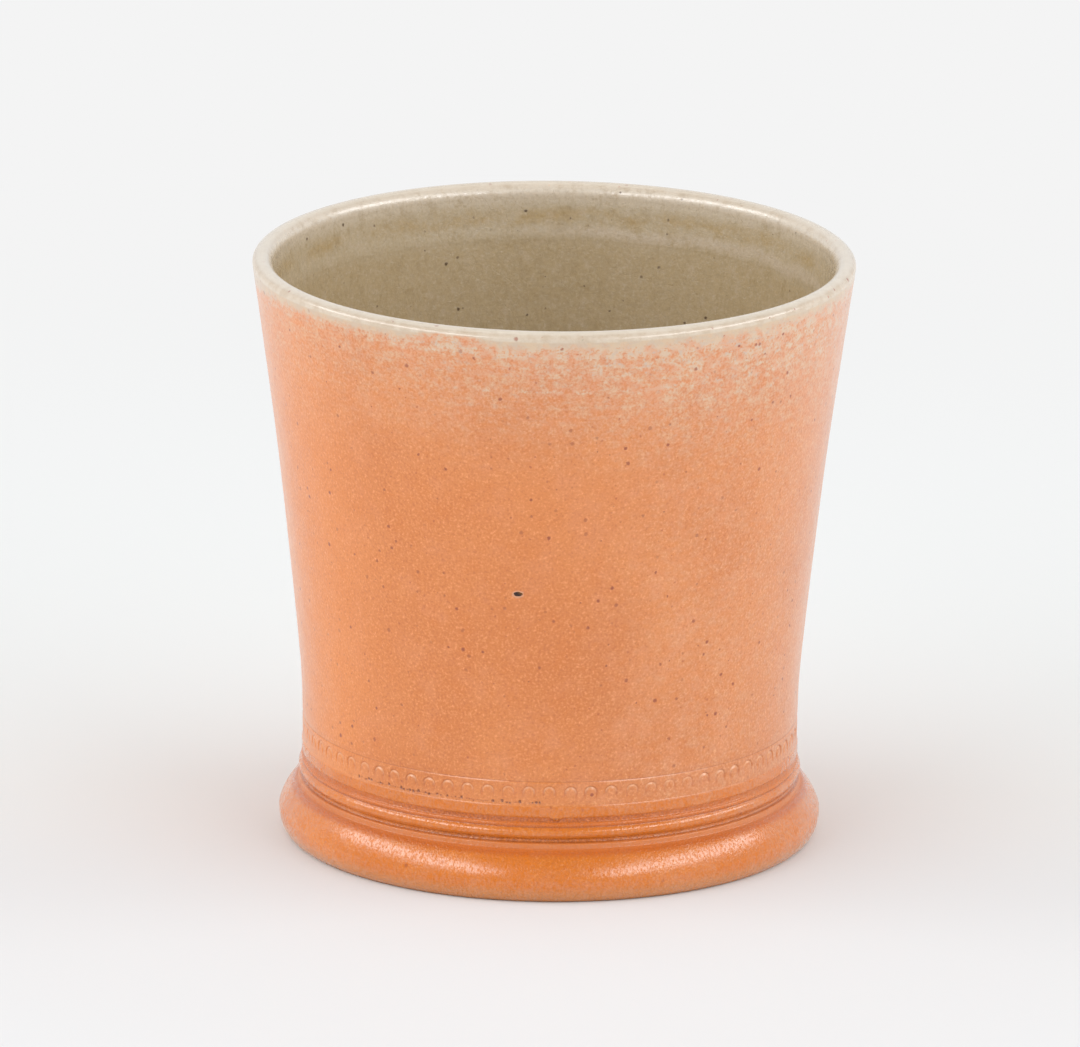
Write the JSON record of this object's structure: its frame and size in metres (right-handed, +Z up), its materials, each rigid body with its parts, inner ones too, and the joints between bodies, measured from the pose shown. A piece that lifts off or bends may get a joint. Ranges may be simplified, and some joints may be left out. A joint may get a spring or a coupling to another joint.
{
  "type": "salt-glazed beaker",
  "caption": "Wheel-thrown stoneware beaker: flared round wall, rounded lip, fine turned mouldings with an arcade of stamped arches, and a rounded foot roll with a shallow recess under it.",
  "frame": {"origin": "on the surface that the beaker stands on, under the middle of its foot", "axes": "+Z up along the turning axis, from the foot to the mouth; X and Y are free, and the pictured side faces -Y"},
  "size_m": [0.098, 0.098, 0.0967],
  "materials": {
    "bare_stoneware": "unglazed, fine-grained and dry",
    "liner_glaze": "glossy, finely crazed",
    "salt_glaze": "satin to glossy, with fine orange peel"
  },
  "bodies": {
    "root": {"stoneware_body": "bare_stoneware", "liner_glaze": "liner_glaze", "salt_glaze_coat": "salt_glaze"}
  },
  "joints": []
}
